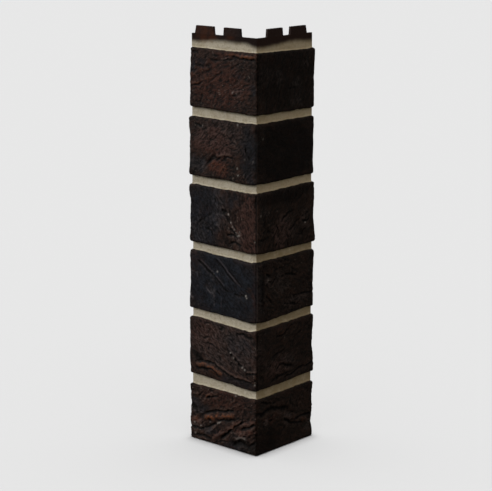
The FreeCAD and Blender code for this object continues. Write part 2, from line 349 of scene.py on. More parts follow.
LEFT_PATCHES = [
    (0, "slate", 11.5, 36.5, 13, 7, 0.6), (0, "warm", 45, 50.5, 30, 10, 0.35),
    (0, "dark", 74, 8, 19, 6, 0.9), (0, "dark", 88, 16, 4, 7, 0.6), (0, "slate", 28, 12.5, 10, 4, 0.5),
    (0, "ember", 7.5, 22.5, 7, 4, 0.25), (0, "slate", 60, 4.5, 14, 5, 0.5),
    (0, "pale", 10, 17, 11, 6, 0.5), (0, "pale", 66, 18, 11, 5, 0.5),
    (1, "calm", 70, 39, 17, 14, 0.85), (1, "warm", 20, 46, 22, 16, 0.3),
    (1, "dark", 11.5, 20.5, 6, 5, 0.9), (1, "slate", 66, 43, 16, 12, 0.35),
    (1, "slate", 62, 3, 26, 4, 0.4), (1, "calm", 18, 51, 12, 9, 0.5), (1, "pale", 45, 38, 48, 26, 0.55),
    (2, "slate", 44, 31, 52, 40, 1.0), (2, "warm", 89, 31, 3.2, 24, 0.7),
    (2, "warm", 13, 33, 7, 5, 0.3), (2, "warm", 13, 17, 8, 5, 0.3), (2, "pale", 28, 23, 6, 5, 0.6),
    (2, "warm", 20, 6, 12, 3, 0.4), (2, "pale", 8, 40, 8, 4, 0.4),
    (3, "slate", 20, 33, 24, 34, 0.8), (3, "warm", 79, 28, 14, 34, 0.5), (3, "calm", 22, 48, 24, 11, 0.8),
    (3, "pale", 78, 26, 16, 30, 0.25), (3, "pale", 37, 50, 8, 11, 0.5),
    (3, "dark", 48, 10, 5, 6, 0.7), (3, "pale", 65, 16, 6, 7, 0.6), (3, "slate", 50, 51, 16, 9, 0.4),
    (3, "pale", 45, 30, 15, 9, 0.5), (3, "warm", 22, 37, 6, 3, 0.4), (3, "pale", 10, 12, 10, 6, 0.4),
    (4, "dark", 81, 36.5, 11, 30, 0.45), (4, "slate", 81, 30.5, 10, 32, 0.7),
    (4, "calm", 80, 42, 10, 18, 0.8), (4, "warm", 38, 14, 14, 8, 0.9),
    (4, "ember", 40, 14.5, 12, 4.5, 0.2), (4, "warm", 32, 37, 26, 14, 0.6),
    (4, "dark", 4, 7, 12, 7, 0.4), (4, "slate", 10, 13, 10, 9, 0.5), (4, "dark", 58, 53.5, 9, 4, 0.3),
    (4, "pale", 12, 11, 12, 7, 0.5), (4, "pale", 40, 45, 40, 16, 0.4), (4, "calm", 10, 39, 9, 10, 0.5),
    (5, "ember", 80, 57, 12, 2.2, 0.45), (5, "warm", 52, 57, 18, 4, 0.5),
    (5, "ember", 16, 71, 20, 6, 0.8), (5, "ember", 48, 73, 12, 4, 0.5),
    (5, "slate", 4, 40, 5, 4, 0.7), (5, "slate", 85, 24, 4, 6, 0.6), (5, "warm", 40, 25.5, 40, 22, 0.6),
    (5, "slate", 15, 45.5, 8, 3, 0.5), (5, "slate", 66, 36, 5, 4, 0.4), (5, "pale", 62, 20, 6, 5, 0.5),
]
RIGHT_PATCHES = [
    (0, "dark", 14, 10.5, 22, 14, 0.6), (0, "ember", 73, 19, 3, 3, 0.3), (0, "warm", 20, 35, 10, 5, 0.5),
    (0, "pale", 15, 31, 4, 5, 0.6), (0, "pale", 80, 15, 4, 7, 0.6), (0, "pale", 50, 31, 9, 5, 0.5),
    (0, "calm", 20, 12.5, 18, 10, 0.7), (1, "calm", 15, 40, 18, 18, 0.8), (1, "calm", 72, 33, 14, 16, 0.7),
    (1, "warm", 42, 56, 12, 4, 0.5), (1, "warm", 32, 17, 16, 9, 0.5), (1, "pale", 36, 20, 22, 10, 0.4),
    (2, "slate", 3, 47, 4, 14, 0.5), (2, "dark", 8, 33, 4, 18, 0.7), (2, "pale", 38, 34, 16, 11, 0.35),
    (2, "pale", 17, 43, 5, 4, 0.6), (2, "pale", 60, 14, 20, 5, 0.4), (2, "calm", 68, 38, 9, 8, 0.6),
    (3, "dark", 45, 55, 42, 8, 0.7), (3, "calm", 25, 48, 22, 12, 0.8), (3, "pale", 40, 20, 16, 14, 0.45),
    (3, "warm", 38, 16, 14, 14, 0.6), (3, "pale", 76, 26, 9, 9, 0.3), (3, "pale", 10, 44, 9, 4, 0.3),
    (4, "dark", 44, 30.5, 50, 36, 0.8), (4, "calm", 44, 30.5, 40, 30, 0.8),
    (5, "dark", 44, 34.5, 48, 34, 0.6), (5, "calm", 18, 14, 16, 12, 0.7), (5, "calm", 44, 46, 26, 9, 0.6),
    (5, "pale", 33, 33, 5, 7, 0.6), (5, "pale", 61, 25, 8, 7, 0.7), (5, "pale", 75, 46, 4, 7, 0.6),
    (5, "pale", 55, 9, 10, 6, 0.5), (5, "pale", 12, 36, 12, 10, 0.3),
]
for start, table in ((0, LEFT_PATCHES), (left_length, RIGHT_PATCHES)):
    for number, kind, *numbers in table:
        patch(number, start, kind, *numbers)

# The corner is worn unevenly, and the right face stands proud or back beside it.
from_arris = np.abs(along - left_length)
worn_reach = 6
worn = 0.5 * layered(height / 15, np.full_like(height, 3.5), 33, 3) - 0.15
raised = rough * (1 - 0.8 * calm) + swell + worn * ease(worn_reach - from_arris, 0, worn_reach)
ARRIS_DRIFT = np.array([0, -0.5, 1, 1, 0.5, -0.5])
drift_reach = 14
drift_fade = 12
drift = ARRIS_DRIFT[course] * ease(drift_reach - from_arris, 0, drift_fade)
raised += drift * (along > left_length)
raised *= on_brick
print("calm share", (calm > 0.4).mean().round(3))

# %% [markdown]
# ## Folds, scratches and dents
# Some marks are too distinct for noise: folds where the clay buckled, scratches, dents and
# cracks. Each is a stroke through a few points with a rounded section across it: a ridge goes
# out, a crease goes in, and a shelf lifts the clay on the left of its line, as an overhanging
# fold does. A stroke has a brick, a kind, a half width, a height and its points. A kind may
# start with a tint, and a crease is always tinted dark, which is painted shade in its groove.
# Low strokes are tinted less. Strokes waver by a millimetre, but the third brick's scratches
# run straighter.

# %% Cut and raise the strokes
waver = np.where(course == 2, 0.4, 1.1)
bend_x = waver * layered(along / 7, height / 7, 31, 2)
bend_y = waver * layered(along / 7, height / 7, 32, 2)


def stroke(number, start, kind, width, amount, *points):
    tint, _, form = kind.rpartition(" ")
    rows = course_rows[number]
    x = (along + bend_x)[rows] - start
    y = (height + bend_y)[rows] - number * course_pitch
    nearest, side, travel = np.full(x.shape, 1e9), np.zeros(x.shape), np.zeros(x.shape)
    total = 0.0
    for (x0, y0), (x1, y1) in zip(points, points[1:]):
        run = math.hypot(x1 - x0, y1 - y0)
        step_x, step_y = (x1 - x0) / run, (y1 - y0) / run
        reach = np.clip((x - x0) * step_x + (y - y0) * step_y, 0, run)
        gap = np.hypot(x - x0 - reach * step_x, y - y0 - reach * step_y)
        closer = gap < nearest
        nearest = np.where(closer, gap, nearest)
        side = np.where(closer, step_x * (y - y0) - step_y * (x - x0), side)
        travel = np.where(closer, total + reach, travel)
        total += run
    before, after = -0.15 * total, 0.12 * total
    taper = ease(travel, before, after) * ease(total - travel, before, after)
    section = np.exp(-((nearest / width) ** 2)) * taper * on_brick[rows]
    if form == "shelf":
        section *= side > -0.3 * width
    # a crease is tinted dark: painted shade in its groove
    if form == "crease":
        tint = "dark"
    raised[rows] += (-amount if form == "crease" else amount) * section
    if tint:
        tints[tint][rows] = np.maximum(tints[tint][rows], section * min(amount, 1))


LEFT_STROKES = [
    # lowest brick: heavy folds with dark creases between them
    (0, "ember ridge", 2.4, 1, (20, 26.5), (26, 28.5), (31, 28)),
    (0, "crease", 1.3, 1, (24.5, 25.5), (27.5, 26)),
    (0, "ember ridge", 2, 0.9, (34, 31), (45, 33), (58, 36.5)),
    (0, "crease", 1, 1.4, (19.5, 31.5), (26, 34), (33, 35.5)),
    (0, "crease", 1.1, 1.6, (35, 36.5), (46, 38), (58, 41.5)),
    (0, "crease", 0.9, 1.2, (37, 26.5), (48, 29), (60, 32)),
    (0, "fleck ridge", 0.8, 0.35, (35.5, 23.5), (41, 25.5)),
    (0, "warm ridge", 3.6, 0.9, (3.5, 20.5), (8.5, 22), (12.5, 18.5)),
    (0, "crease", 1.2, 1.4, (-2.5, 12), (8.5, 12.5), (16.5, 13)),
    (0, "crease", 1, 1.2, (18, 14.5), (25, 18), (34.5, 22.5)),
    (0, "pale ridge", 1.8, 0.5, (20, 11), (27, 14), (34, 19.5)),
    (0, "warm ridge", 2.2, 0.9, (32, 8), (40, 13.5), (47, 17.5)),
    (0, "warm ridge", 2, 0.9, (50, 21), (57, 24.5), (68, 32)),
    (0, "ember ridge", 0.8, 0.4, (50, 19.5), (58, 24), (66, 29.5)),
    (0, "crease", 1.5, 1.4, (42, 8.5), (50, 15.5), (56, 21)),
    (0, "crease", 1, 1, (60, 24.5), (66, 29), (73, 33)),
    (0, "warm ridge", 2.2, 0.8, (71, 28), (79, 31.5), (89, 37)),
    (0, "crease", 1, 1.1, (70, 24.5), (78, 27.5), (88, 33)),
    (0, "fleck ridge", 1, 0.25, (63, 12), (66, 14.5), (71, 15.5), (76, 14.5)),
    (0, "pale ridge", 1.2, 0.7, (64, 13), (70, 16), (77, 15)),
    (0, "crease", 2.8, 1.8, (60, 5.5), (68, 9.5), (77, 9)),
    (0, "warm ridge", 3.4, 0.8, (64, 19), (74, 21), (86, 27)),
    (0, "crease", 2, 1.2, (80, 7), (87, 12)),
    (0, "crease", 1, 1, (22, 48), (30, 51.5), (38, 53)),
    (0, "ember ridge", 1, 0.6, (21, 50), (29, 53)),
    (0, "pale ridge", 1.1, 0.7, (16, 43.5), (21, 46.5)),
    (0, "crease", 2.4, 1.2, (-1.5, 40.5), (3.5, 36.5), (7.5, 32)),
    (0, "crease", 1.2, 0.9, (7.5, 5), (17.5, 6.5), (28, 4)),
    (0, "crease", 0.9, 0.8, (38, 4.5), (52, 7)),
    # second brick: one long fold from the left end down to the corner
    (1, "shelf", 3, 0.8, (30, 16), (39, 15), (45, 12), (53, 9), (62, 7.5), (73, 7), (85, 7.5)),
    (1, "crease", 1, 1.5, (8.5, 16), (21.5, 17.5), (31, 17), (39, 14.5), (45, 11.5), (53, 9),
     (62, 7), (73, 7), (83, 7)),
    (1, "warm ridge", 1.3, 0.4, (40, 17.5), (46, 14.5), (54, 11.5), (63, 9.5), (74, 9.5), (86, 9.5)),
    (1, "ember ridge", 1.6, 0.9, (8, 12), (18, 13.5), (27, 13), (34, 11), (42, 8)),
    (1, "crease", 0.6, 0.9, (18, 10), (28, 10.5), (37, 7)),
    (1, "ember ridge", 0.9, 0.6, (25, 8.5), (36, 6)),
    (1, "crease", 0.8, 0.9, (8, 9), (24, 8.5), (39, 5)),
    (1, "crease", 2.8, 1, (7.5, 24), (11.5, 20), (14.5, 18)),
    (1, "crease", 0.7, 0.5, (43, 38.5), (52, 34.5)),
    (1, "crease", 1.2, 1.4, (56, 31), (58, 29.5)),
    (1, "crease", 1.2, 1.4, (61, 27.5), (63.5, 26)),
    (1, "crease", 1.2, 1.4, (65.5, 25), (67.5, 23.5)),
    (1, "crease", 1.1, 1.2, (69, 23), (70.5, 21.5)),
    (1, "crease", 1.2, 1, (64, 55.5), (73.5, 55), (85, 52.5)),
    (1, "crease", 0.9, 0.9, (76, 14), (82, 15), (90, 17.5)),
    (1, "pale ridge", 1, 0.6, (77, 16.5), (84, 18), (90, 20)),
    (1, "crease", 0.8, 0.8, (78, 11.5), (84, 9), (90, 9)),
    (1, "crease", 0.8, 0.6, (20, 59.5), (34, 60.5), (46, 59.5)),
    (1, "crease", 0.9, 0.6, (18, 42), (22, 44), (27, 44)),
    (1, "crease", 0.9, 0.6, (22, 37.5), (31, 36.5), (39, 33.5)),
    (1, "crease", 0.9, 0.6, (41, 55), (45, 59)),
    (1, "pale ridge", 0.8, 0.5, (22, 40), (26, 44), (28, 48)),
    (1, "pale ridge", 0.8, 0.5, (35, 36.5), (37, 32.5)),
    # third brick: two long diagonal scratches with raised lips on smooth clay
    (2, "crease", 0.9, 1.1, (11, 53.5), (18, 49.5), (26, 44), (33.5, 40)),
    (2, "ridge", 1, 0.25, (15, 54), (23, 49.5), (32, 43.5)),
    (2, "crease", 0.7, 0.7, (34, 39.5), (43.5, 32), (53, 25.5)),
    (2, "ridge", 1, 0.3, (36, 40.5), (47, 32.5)),
    (2, "ridge", 1.8, 0.35, (36, 61), (43, 55.5), (51, 49), (59, 42.5), (68, 36)),
    (2, "crease", 1, 0.7, (36, 58), (45, 51), (52, 44.5), (60, 38)),
    (2, "crease", 0.6, 0.8, (52, 50), (60, 43.5), (71, 35.5)),
    (2, "crease", 0.7, 0.8, (36.5, 25.5), (41, 21.5)),
    (2, "crease", 0.7, 0.7, (61, 26), (68, 25)),
    (2, "crease", 0.8, 0.8, (70, 27), (74, 25.5)),
    (2, "slate ridge", 1.6, 0.5, (22, 26), (28, 22), (34, 20)),
    (2, "pale ridge", 0.9, 0.7, (1, 18), (4.5, 10.5)),
    (2, "ridge", 1, 0.3, (32.5, 20), (32.5, 8)),
    (2, "ridge", 1, 0.3, (43, 19), (42, 8)),
    # fourth brick: a long crease with crumbs, an arc and short cracks
    (3, "crease", 1.2, 1, (45, 40.5), (50.5, 39.5)),
    (3, "crease", 0.8, 0.7, (49, 34), (53, 30.5), (55, 26)),
    (3, "crease", 1.1, 1.1, (55, 23), (59, 20), (62.5, 18)),
    (3, "crease", 1, 1.2, (51.5, 16.5), (58, 16.5), (64, 15)),
    (3, "crease", 1, 1.1, (55.5, 8.5), (62, 9), (70, 7.5)),
    (3, "crease", 0.8, 0.35, (7.5, 18), (12, 24), (21, 30), (30, 35.5)),
    (3, "crease", 0.8, 0.6, (22.5, 18.5), (28, 17), (31, 13)),
    (3, "pale ridge", 0.9, 0.6, (52.5, 38), (54.5, 34.5)),
    (3, "pale ridge", 1, 0.8, (56, 30), (59, 25.5), (62, 22)),
    (3, "pale ridge", 1.1, 0.7, (64, 20), (68.5, 17.5)),
    (3, "pale ridge", 1.1, 0.4, (36, 25), (42, 19)),
    (3, "crease", 1, 0.6, (34, 52), (35.5, 47)),
    # fifth brick: a dent with a rusty lip and a crack near the corner
    (4, "crease", 2.4, 1.2, (26, 17), (30, 20.5), (35, 24)),
    (4, "pale ridge", 0.7, 0.6, (30, 20.5), (35, 24)),
    (4, "crease", 0.9, 1.2, (37, 20.5), (41, 23.5)),
    (4, "crease", 0.8, 0.9, (44, 20), (49, 22.5)),
    (4, "warm ridge", 1.1, 0.8, (35, 24.5), (45, 26), (57, 27.5)),
    (4, "crease", 0.7, 0.8, (49, 23.5), (58, 25)),
    (4, "crease", 0.9, 0.9, (75.5, 36.5), (77.5, 32)),
    (4, "crease", 0.8, 0.8, (78.5, 30), (80.5, 26.5)),
    (4, "crease", 1.3, 0.9, (8, 54), (18, 52.5)),
    (4, "crease", 0.9, 0.5, (50, 46), (56, 42.5), (64, 38)),
    (4, "crease", 0.9, 0.5, (53, 35), (59, 33.5), (66, 33)),
    (4, "crease", 0.8, 0.5, (22, 36), (31, 40), (38, 45)),
    # top brick: worn orange along the upper edge and ridges near the left end
    (5, "ember ridge", 1.1, 0.7, (50, 56.5), (62, 57.5), (74, 56.5), (90, 57)),
    (5, "ember ridge", 1.3, 0.8, (68, 55.5), (76, 55.5), (84, 55)),
    (5, "pale ridge", 0.7, 0.7, (72, 58.5), (84, 58)),
    (5, "crease", 0.7, 0.9, (58, 55), (70, 54), (80, 53), (88, 54)),
    (5, "pale ridge", 0.8, 0.6, (46, 52.5), (56, 54.5)),
    (5, "crease", 0.8, 0.4, (30, 50), (44, 51), (60, 52)),
    (5, "crease", 1, 0.9, (1, 57), (12, 56.5)),
    (5, "ember ridge", 1.2, 0.35, (15, 40), (27, 40.5)),
    (5, "crease", 0.8, 0.4, (8, 43.5), (20, 43), (30, 46)),
    (5, "ember ridge", 1.2, 0.3, (1, 34.5), (8, 34)),
    (5, "ember ridge", 1.1, 0.45, (3, 25.5), (14, 26)),
    (5, "crease", 0.9, 0.7, (1, 23), (13, 23.5), (18, 27)),
    (5, "ember ridge", 1.2, 0.3, (21, 31), (28, 33)),
    (5, "crease", 0.9, 0.4, (12, 33.5), (21, 36.5), (30, 41)),
    (5, "crease", 0.9, 0.4, (26, 27), (34, 33.5), (45, 39.5)),
    (5, "crease", 0.9, 0.5, (14, 5), (17, 15)),
    (5, "crease", 0.8, 0.7, (58, 17), (64, 18)),
    (5, "pale ridge", 0.9, 0.5, (57, 19), (61, 20.5)),
]
RIGHT_STROKES = [
    (0, "crease", 2, 1.2, (1, 44), (8, 42), (14, 45), (22, 46), (34.5, 43.5), (48.5, 40.5)),
    (0, "ridge", 2.6, 0.8, (14, 38), (15, 29.5)),
    (0, "crease", 0.9, 0.8, (19, 33), (25, 34)),
    (0, "crease", 1, 1.2, (43.5, 29), (54.5, 22.5), (70.5, 19.5)),
    (0, "crease", 1, 1.1, (60, 25), (74.5, 27), (86.5, 25.5)),
    (0, "warm ridge", 1.6, 0.5, (43, 32), (52, 29.5), (60, 28)),
    (0, "crease", 0.9, 0.7, (46, 38), (58, 34)),
    (0, "crease", 0.9, 0.7, (6, 56), (22, 51)),
    (1, "crease", 0.9, 1, (24, 6), (36, 8), (47, 8)),
    (1, "crease", 1.1, 1.2, (44, 4.5), (54, 6), (64, 9.5), (74, 10)),
    (1, "crease", 0.9, 0.8, (76, 9.5), (88, 12)),
    (1, "warm ridge", 1.8, 0.4, (30, 12), (38, 15), (48, 12)),
    (1, "crease", 0.9, 0.9, (31, 17), (36, 19.5), (41, 19.5), (54, 15)),
    (1, "crease", 0.9, 0.7, (24, 31), (34, 32), (42, 35)),
    (1, "crease", 0.9, 0.6, (16, 21), (22, 22)),
    (1, "warm ridge", 1.6, 0.4, (31, 54.5), (40, 57)),
    (1, "crease", 0.9, 0.9, (31, 50), (42, 51), (50, 56)),
    (1, "crease", 0.9, 0.7, (56, 44), (68, 49)),
    (2, "crease", 0.8, 0.9, (58.5, 19), (74.5, 18.5), (88.5, 16.5)),
    (2, "crease", 2.4, 0.4, (8.5, 52), (7.5, 35), (9, 16)),
    (2, "crease", 1.3, 1.1, (15, 48), (19, 46)),
    (2, "pale ridge", 1.3, 0.6, (15, 43.5), (19, 41.5)),
    (2, "crease", 0.8, 0.9, (43, 44), (52, 42.5), (61, 40)),
    (2, "crease", 0.8, 0.7, (27, 51), (40, 52)),
    (2, "crease", 0.9, 0.8, (14, 26), (22, 19)),
    (2, "crease", 0.8, 0.8, (42, 13.5), (52, 11), (60, 9)),
    (2, "crease", 0.8, 0.7, (22, 36), (28, 42)),
    (3, "crease", 0.8, 1, (38, 29), (42, 33), (48, 36.5), (57, 38.5)),
    (3, "crease", 0.9, 0.9, (70, 25.5), (80, 24)),
    (3, "crease", 0.9, 0.8, (66, 12), (76, 16)),
    (3, "crease", 0.8, 0.8, (29, 27), (33, 20)),
    (3, "crease", 0.9, 0.7, (2, 14), (14, 15)),
    (3, "crease", 0.9, 0.7, (48, 18), (56, 22), (66, 29)),
    (5, "pale ridge", 1.2, 0.4, (74, 50), (77, 42)),
    (5, "crease", 0.9, 0.7, (48, 22), (58, 23)),
]
for start, table in ((0, LEFT_STROKES), (left_length, RIGHT_STROKES)):
    for number, *values in table:
        stroke(number, start, *values)
print("relief from", raised.min().round(2), "to", raised.max().round(2), "mm")

# %% [markdown]
# ## Flecks
# A few grains of light sand stuck to the clay. Each is under two millimetres across, so it
# raises and tints only a few vertices of the grid. A grain has its course, its place along the
# strip, its height above the course's foot and the strength of its tint.

# %% Stick the sand grains on
FLECKS = [
    (5, 58.5, 20, 0.4), (5, 63, 19, 0.3), (4, 65, 58.5, 0.6), (4, 64.5, 15, 0.6), (4, 65.5, 8.2, 0.6),
    (4, 17.5, 53, 0.5), (4, 85.5, 24, 0.3), (4, 74.5, 25, 0.3), (4, 34, 22, 0.3),
    (3, 52.6, 37, 0.8), (3, 55.8, 29, 0.6), (3, 58, 25, 0.5), (3, 60.5, 22.5, 0.6), (3, 62.5, 19, 0.9),
    (3, 64.5, 16.5, 0.5), (3, 66.8, 17.2, 0.8), (3, 67.5, 21, 0.4), (3, 88, 13.5, 0.4),
    (2, 76, 26.5, 0.9), (2, 77, 24.5, 0.6), (2, 37.2, 45.5, 0.6), (2, 32, 42, 0.3),
    (1, 55, 33, 0.9), (1, 59.5, 28.5, 0.6), (1, 71, 20.8, 0.8), (1, 74.3, 18.8, 0.8), (1, 88, 5.5, 0.6),
    (0, 66, 13.5, 0.8), (0, 74, 15, 0.7), (0, 62, 58.5, 0.5), (0, 5, 18, 0.5), (0, 13.5, 16.5, 0.5),
    (0, 5.5, 6.5, 0.4), (0, 26, 23, 0.4), (0, 39, 24.5, 0.5), (4, 99.5, 46, 0.6), (3, 165.5, 23, 0.9),
    (3, 96.5, 39.5, 0.4), (2, 107.5, 42, 0.5),
]
grain_radius = 0.8
grain_height = 0.3
for number, x, y, strength in FLECKS:
    gap = np.hypot(along - x, height - number * course_pitch - y)
    sand = strength * np.exp(-((gap / grain_radius) ** 2))
    raised += grain_height * sand
    tints["fleck"] = np.maximum(tints["fleck"], sand)
print(len(FLECKS), "grains")

# %% [markdown]
# ## Hollows and crests
# The roller leaves more paint on the crests than in the hollows, which stay nearly black. The
# lighter crests and near-black hollows also stand in for painted highlight and painted shade.
# The shader needs to know which is which, so the relief is compared with its own surroundings.

# %% Measure hollows and crests
def blurred(values, passes):
    for _ in range(passes):
        padded = np.pad(values, 1, mode="edge")
        values = (padded[:-2, 1:-1] + padded[2:, 1:-1] + padded[1:-1, :-2] + padded[1:-1, 2:]
                  + 2 * values) / 6
    return values


crest = (raised - blurred(raised, 12)) * on_brick
print("crests", np.percentile(crest, 95).round(2), "hollows", np.percentile(crest, 5).round(2))

# %% [markdown]
# ## Bend the grid into the corner
# Now each vertex gets its place. A point that lies deeper sits on a smaller outline, so the
# two flanges shorten by their depth and meet in a mitre. The corner is a quarter circle
# on the bricks and nearly sharp in the joints. The free ends bulge or fall short by a
# millimetre or two, as the outline in the photograph shows, and the bricks' corners are
# rounded there.

# %% Place the vertices
BULGE_HEIGHTS = [5, 17, 30, 45, 57]
LEFT_BULGE = [(1.5, 1.5, 1, 1, 2), (1, 2, 1.5, 1.5, 1.5), (2, 1, 0, 0.5, 0.5),
              (1, -0.5, 0, -0.5, 1.5), (1, 0, 0, 0, 1), (-0.5, -1, -1, -2, -2)]
RIGHT_BULGE = [(0.5, -1.5, 0, -1, 1), (1.5, 1, -0.5, 0, 1), (0.5, 0.5, -0.5, 0.5, 1),
               (2.5, 1, 0, 0.5, 1), (-1, -1.5, -1.5, -1, -0.5), (-1, -1, -1, -0.5, 0)]
LEFT_JOINT_BULGE = np.array([1.5, 0.5, 0, 0.5, 0, 0])
RIGHT_JOINT_BULGE = np.array([2, 1.5, 2, 0.5, 0.5, 0])

proudest = 1.6
deepest = shell + 1.4
depth = np.clip(sunk - raised, -proudest, deepest)
from_end = np.minimum(along, full_length - along)
end_radius = 1.2
roll = np.clip(end_radius - from_end, 0, end_radius)
depth += (end_radius - np.sqrt(end_radius**2 - roll**2)) * (sunk < 3)
depth[-2:] = joint_depth

rise = height - course * course_pitch
bulge = np.zeros_like(height)
for number, rows in enumerate(course_rows):
    left = through(rise[rows], BULGE_HEIGHTS, LEFT_BULGE[number])
    right_side = through(rise[rows], BULGE_HEIGHTS, RIGHT_BULGE[number])
    bulge[rows] = np.where(along[rows] < left_length, left, right_side)
even_bulge = 0.7
bulge += even_bulge + 0.5 * layered(rise / 9 + 7 * course, from_end / 50, 71, 2)
corner_radius = 2.6
cut = np.clip(corner_radius - np.where(inside > 0, inside, 0), 0, corner_radius)
bulge -= 0.7 * (corner_radius - np.sqrt(corner_radius**2 - cut**2))
joint_below = np.where(inside + rise < brick_height / 2, np.maximum(course - 1, 0), course)
joint_bulge = np.where(along < left_length, LEFT_JOINT_BULGE[joint_below], RIGHT_JOINT_BULGE[joint_below])
on_face = ease(inside, -1.2, 0.8)
bulge_reach = 7
bulge = (bulge * on_face + joint_bulge * (1 - on_face)) * ease(bulge_reach - from_end, 0, bulge_reach)

face_x, face_y = high[0], low[1]
left_share = np.clip(along / (left_length - arris), 0, 1)
right_share = np.clip((along - left_length - arris) / (right_length - arris), 0, 1)
angle = np.clip((along - left_length + arris) / (2 * arris), 0, 1) * math.pi / 2 - math.pi / 2
radius = arris * (1 - 0.85 * ease(sunk, 0.5, 3.5))
centre_x = face_x - depth - radius
centre_y = face_y + depth + radius
x = centre_x + radius * np.cos(angle)
y = centre_y + radius * np.sin(angle)
x = np.where(along <= left_length - arris, low[0] + left_share * (centre_x - low[0]) - bulge, x)
y = np.where(along >= left_length + arris, centre_y + right_share * (high[1] - centre_y) + bulge, y)
front = np.stack([x, y, height], axis=-1)
print("front box", front.min(axis=(0, 1)).round(1), front.max(axis=(0, 1)).round(1))

# %% [markdown]
# ## Close the ends and the foot
# The front has to turn round the free ends to the back, and under the foot to the shell.
# Extra columns run along each end face to the back plane. Below the rebate, where the lip of
# the next strip enters, the end wall is only as thick as the shell.

# %% Add the end walls and the foot
WALL_SHARES = (0.2, 0.45, 0.72, 1.0)
wall_columns = len(WALL_SHARES)


def end_columns(column, axis, plane, step):
    stop = np.where(front[:, column, 2] < rebate_top, shell, back_depth)
    walls = []
    for share in WALL_SHARES:
        wall = front[:, column].copy()
        wall[:, 1 - axis] += step * (stop - depth[:, column]) * share
        wall[:, axis] += (plane - wall[:, axis]) * ease(share, 0, 1)
        walls.append(wall[:, None])
    return np.concatenate(walls, axis=1)


left_end = end_columns(0, 0, low[0], 1)[:, ::-1]
right_end = end_columns(-1, 1, high[1], -1)
whole = np.concatenate([left_end, front, right_end], axis=1)
SPRAY_LINE = [(3, 416.5), (40, 418.5), (74, 418), (88, 415), (104, 415), (148, 418), (175, 416.5)]
spray_line = through(along, *zip(*SPRAY_LINE)) + 0.5 * layered(along / 9, height / 9, 81, 2)
spray = ease(height - spray_line, -3.0, 3.0)
# This mask marks the right flange below about 250 mm, where the joint paint is darker and yellower.
lower_right = share_right * ease(270 - height, 0, 30)
# shade marks the right flange; the shader gives its bricks, joints and lip darker or shifted tones there,
# which are painted shade
masks = {"sunk": sunk, "crest": crest, "spray": spray, "shade": share_right, "lower_right": lower_right, **tints}
beside = (wall_columns, wall_columns)
masks = {name: np.pad(values, ((0, 0), beside), mode="edge") for name, values in masks.items()}
flow = np.pad(flow, ((1, 0), beside, (0, 0)), mode="edge")

flat_along = np.pad(along[0], wall_columns, mode="edge")
reach = shell - np.pad(depth[0], wall_columns, mode="edge")
reach[:wall_columns] = 0
reach[-wall_columns:] = 0
foot_row = whole[0].copy()
foot_row[:, 1] += np.where(flat_along < left_length, reach, 0)
foot_row[:, 0] -= np.where(flat_along >= left_length, reach, 0)
foot_row[:, 0] = np.maximum(foot_row[:, 0], low[0])
foot_row[:, 1] = np.minimum(foot_row[:, 1], high[1])
whole = np.concatenate([foot_row[None], whole], axis=0)
masks = {name: np.concatenate([values[:1], values]) for name, values in masks.items()}
row_count, column_count = whole.shape[:2]
print("front with ends:", row_count, "by", column_count)

# %% [markdown]
# ## Keep the back of the moulding
# Everything behind the front is engineering: hollow bricks, ribs, lugs, the rebate and the
# tabs. It needs no clay, so its faces are taken from the construction model. A face belongs
# to the front if it looks outwards from the brick faces or the joints, and all others stay.
# The lip and its tabs share one flat face, so the copy is welded and cut level with the lip's
# top first.

# %% Copy the back faces
source = bmesh.new()
source.from_mesh(bpy.data.objects["corner_panel"].data)
bmesh.ops.remove_doubles(source, verts=source.verts, dist=1e-6)
everything = source.verts[:] + source.edges[:] + source.faces[:]
bmesh.ops.bisect_plane(source, geom=everything, plane_co=(0, 0, lip_top / 1000), plane_no=(0, 0, 1))
source.verts.index_update()
corners = np.array([vertex.co[:] for vertex in source.verts]) * 1000


def is_front(face):
    # A face counts as lying on a plane within `touch`, and as looking a way from `slant` on.
    touch = 0.05
    slant = 0.05
    middle = corners[[vertex.index for vertex in face.verts]].mean(axis=0)
    if middle[2] > lip_top - touch:
        return False
    at_end = abs(middle[0] - low[0]) < touch or abs(middle[1] - high[1]) < touch
    behind_left, behind_right = middle[1] - low[1], high[0] - middle[0]
    on_left = behind_left < joint_depth + touch and face.normal.y < -slant
    on_right = behind_right < joint_depth + touch and face.normal.x > slant
    ledge = abs(face.normal.z) > slant and min(behind_left, behind_right) < shell - 0.02
    return at_end or on_left or on_right or ledge


kept = [tuple(vertex.index for vertex in face.verts) for face in source.faces if not is_front(face)]
print("kept", len(kept), "of", len(source.faces), "faces of the construction model")
source.free()

# %% [markdown]
# ## One piece
# The front grid and the back faces go into one mesh, since the real strip is one moulding.
# The masks for the paint travel as vertex attributes. The outer faces of the tabs caught the
# overspray too, so they take the paint's slot. Where two back faces meet at a steep angle the
# edge is marked sharp, so flat walls stay flat and the clay stays smooth.

# %% Build the mesh
index = np.arange(row_count * column_count).reshape(row_count, column_count)
quads = np.stack([index[:-1, :-1], index[:-1, 1:], index[1:, 1:], index[1:, :-1]], axis=-1)
quads = quads.reshape(-1, 4)
used = sorted({vertex for face in kept for vertex in face})
renumber = {vertex: index.size + place for place, vertex in enumerate(used)}
points = np.concatenate([whole.reshape(-1, 3), corners[used]]) / 1000
faces = quads.tolist() + [tuple(renumber[vertex] for vertex in face) for face in kept]

